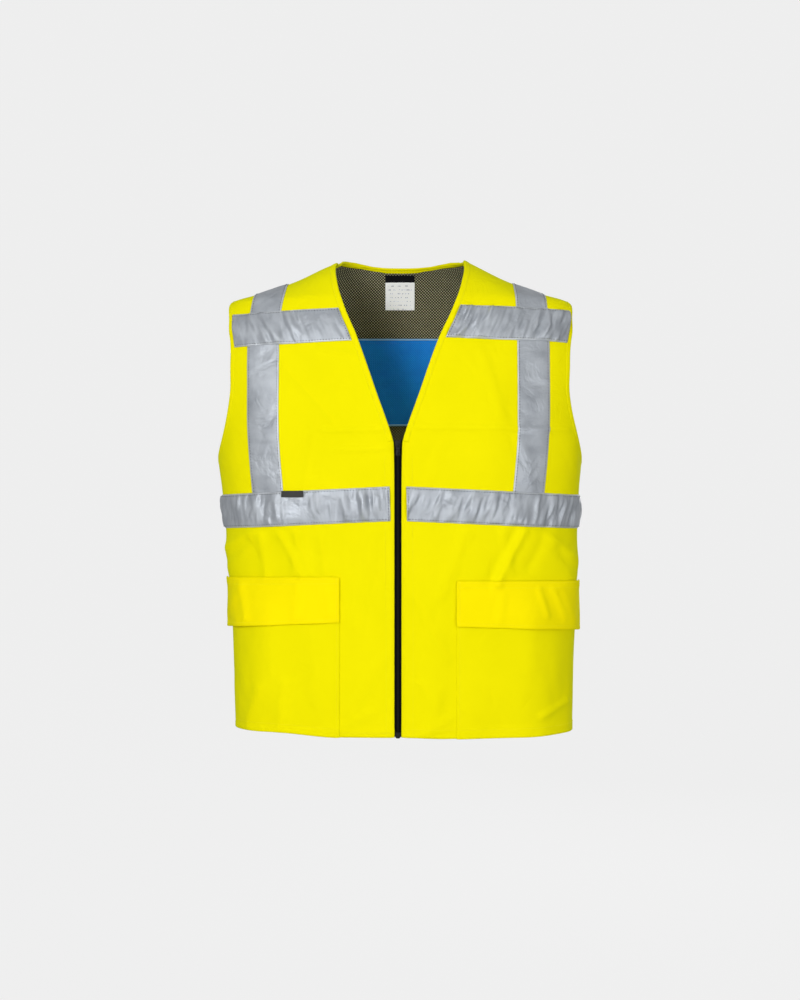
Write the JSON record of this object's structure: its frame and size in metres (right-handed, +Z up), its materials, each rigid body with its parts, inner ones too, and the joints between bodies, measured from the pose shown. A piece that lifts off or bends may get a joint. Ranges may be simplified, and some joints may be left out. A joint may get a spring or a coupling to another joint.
{
  "type": "cooling vest",
  "caption": "High-visibility zipped work vest with reflective tapes, flapped pockets and a cooling pad inside the back.",
  "frame": {"origin": "centre line of the vest at the height of the middle of the shoulders, where it sits on its wearer", "axes": "+Z up, front towards -Y, +X to the wearer's left"},
  "size_m": [0.5591, 0.2744, 0.7164],
  "materials": {
    "hi_vis_fabric": "matt woven polyester",
    "reflective_tape": "satin reflective",
    "black_mesh": "matt knitted mesh",
    "cooling_fabric": "soft sheen weave",
    "cooling_piping": "satin piping",
    "zip_cloth": "matt woven tape",
    "zip_coil": "satin",
    "zip_slider": "gloss black enamel",
    "label_white": "satin woven label",
    "label_black": "satin woven label",
    "tag_grey": "matt woven label"
  },
  "bodies": {
    "vest": {"front_panel_right": "hi_vis_fabric", "front_panel_left": "hi_vis_fabric", "back_panel": "hi_vis_fabric", "neck_binding": "hi_vis_fabric", "armhole_binding_right": "hi_vis_fabric", "armhole_binding_left": "hi_vis_fabric", "pocket_right": "hi_vis_fabric", "pocket_left": "hi_vis_fabric", "flap_right": "hi_vis_fabric", "flap_left": "hi_vis_fabric", "brace_tape_right": "reflective_tape", "brace_tape_left": "reflective_tape", "chest_tape_right": "reflective_tape", "chest_tape_left": "reflective_tape", "waist_tape": "reflective_tape", "side_tag": "tag_grey", "lining_mesh": "black_mesh", "cooling_pad": "cooling_fabric", "cooling_piping_top": "cooling_piping", "cooling_piping_bottom": "cooling_piping", "label_header": "label_black", "label_tab": "label_white", "zip_tape_right": "zip_cloth", "zip_tape_left": "zip_cloth", "zip_coil": "zip_coil", "zip_slider": "zip_slider", "zip_box": "zip_coil"},
    "puller": {"zip_puller": "zip_slider"}
  },
  "joints": [
    {"name": "puller_hinge", "type": "hinge", "parent": "vest", "child": "puller", "pos_m": [-0.003, -0.14469, -0.24863], "axis": [-1, 0, 0], "range_deg": [0, 170]}
  ]
}
